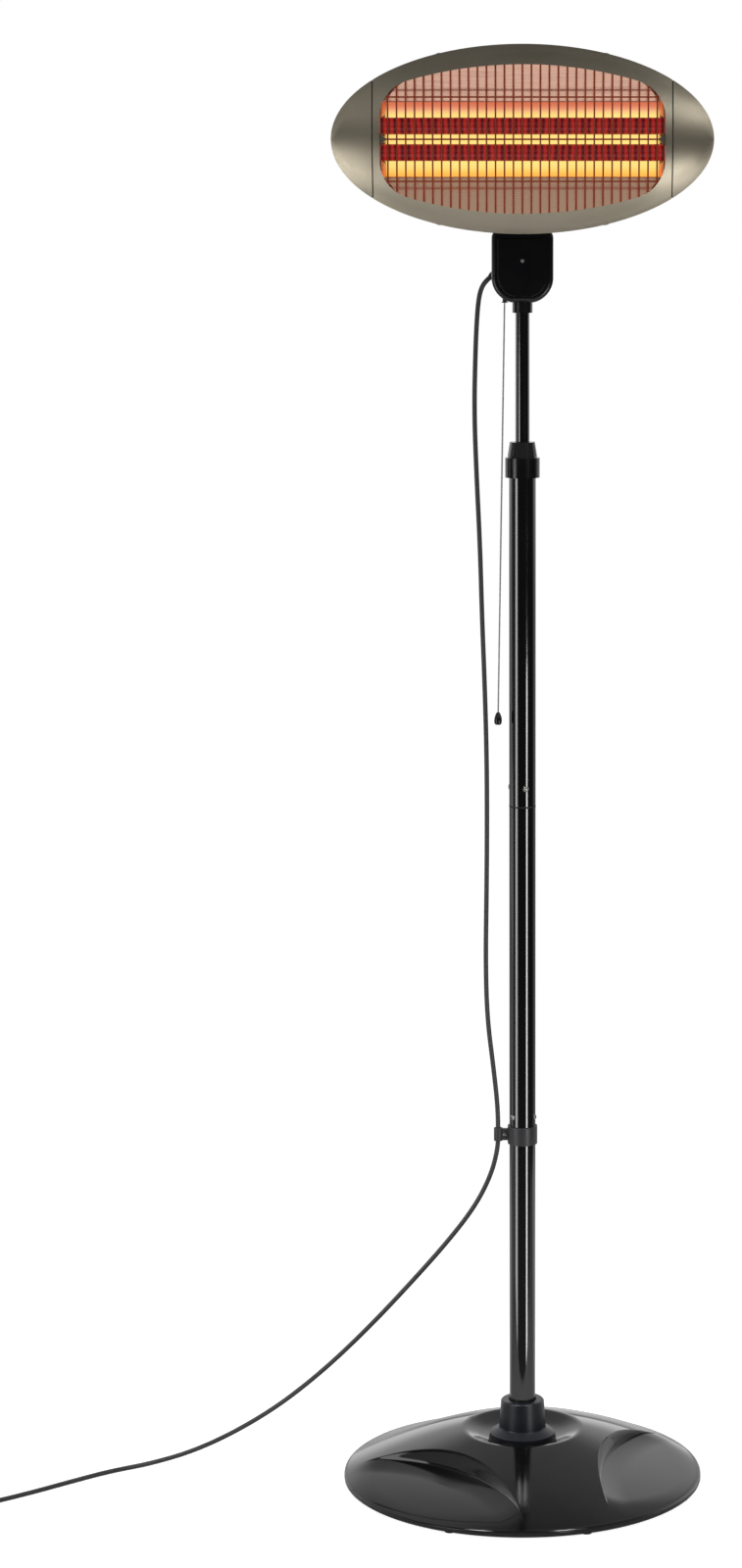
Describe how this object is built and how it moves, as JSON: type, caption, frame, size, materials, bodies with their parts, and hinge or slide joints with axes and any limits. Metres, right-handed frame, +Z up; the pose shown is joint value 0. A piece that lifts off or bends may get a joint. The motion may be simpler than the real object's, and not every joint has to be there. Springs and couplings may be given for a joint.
{
  "type": "patio heater",
  "caption": "Free-standing quartz patio heater: oval tilting lamp head with wire guard on a telescopic black pole, pull-cord switch, mains lead and a heavy scalloped round base.",
  "frame": {"origin": "on the floor under the middle of the pole", "axes": "+Z up the pole, -Y out of the heater's lit face, +X to the right seen from the front"},
  "size_m": [1.1176, 0.541, 1.9682],
  "materials": {
    "black_gloss": "gloss black stove enamel",
    "cement": "rough grey casting",
    "rubber": "matt black",
    "zinc": "zinc plated",
    "black_plastic": "fine satin moulding",
    "white_plastic": "satin",
    "white_cord": "woven light grey line",
    "satin_steel": "satin brushed, warm grey",
    "bright_sheet": "bright rolled sheet",
    "quartz": "ruby quartz, glowing",
    "element": "wound resistance wire",
    "ceramic": "white steatite",
    "guard_steel": "bright welded wire",
    "cord_rubber": "matt black",
    "pin_brass": "nickel plated"
  },
  "bodies": {
    "stand": {"base_dome": "black_gloss", "base_plate": "black_gloss", "ballast": "cement", "rubber_feet": "rubber", "foot_flange": "black_gloss", "base_bolts": "zinc", "base_nuts": "zinc", "base_collar": "black_plastic", "lower_tube": "black_gloss", "middle_tube": "black_gloss", "upper_tube": "black_gloss", "lower_coupler": "zinc", "upper_coupler": "zinc", "coupler_screws": "zinc", "cable_clip": "black_plastic", "clip_screw": "zinc", "clamp_bush": "black_plastic", "clamp_collet": "black_plastic", "cord_upper": "cord_rubber", "cord_lower": "cord_rubber", "cord_coil": "cord_rubber", "cord_tail": "cord_rubber", "cord_tie": "black_plastic", "plug": "cord_rubber", "plug_pins": "pin_brass"},
    "clamp_grip_body": {"clamp_grip": "black_plastic"},
    "riser": {"inner_tube": "black_gloss", "glide_bush": "black_plastic", "neck_ferrule": "black_plastic", "neck_front_cover": "black_plastic", "neck_rear_cover": "black_plastic", "neck_screws": "zinc", "cord_gland": "rubber", "pull_bush": "black_plastic", "pull_switch": "white_plastic", "pivot_bolt": "zinc", "pivot_nut": "zinc"},
    "pull": {"pull_cord": "white_cord", "pull_bell": "black_plastic"},
    "head": {"head_bracket": "black_gloss", "bracket_rivets": "zinc", "bezel": "satin_steel", "left_end_cap": "satin_steel", "right_end_cap": "satin_steel", "bezel_screws": "zinc", "back_shell": "black_gloss", "reflector": "bright_sheet", "upper_quartz_tube": "quartz", "lower_quartz_tube": "quartz", "upper_element": "element", "lower_element": "element", "ceramic_holders": "ceramic", "lamp_brackets": "bright_sheet", "terminal_block": "white_plastic", "wire_guard": "guard_steel"}
  },
  "joints": [
    {"name": "height_slide", "type": "slide", "parent": "stand", "child": "riser", "axis": [0, 0, 1], "range_m": [-0.16, 0.135], "deforming": ["cord_upper"]},
    {"name": "clamp_turn", "type": "hinge", "parent": "stand", "child": "clamp_grip_body", "pos_m": [0, 0, 1.42], "axis": [0, 0, 1], "range_deg": [0, 180]},
    {"name": "head_tilt", "type": "hinge", "parent": "riser", "child": "head", "pos_m": [0, 0, 1.748], "axis": [1, 0, 0], "range_deg": [-15, 25]},
    {"name": "pull_slide", "type": "slide", "parent": "riser", "child": "pull", "axis": [0, 0, -1], "range_m": [0, 0.012], "stiffness_N_per_m": 600}
  ]
}
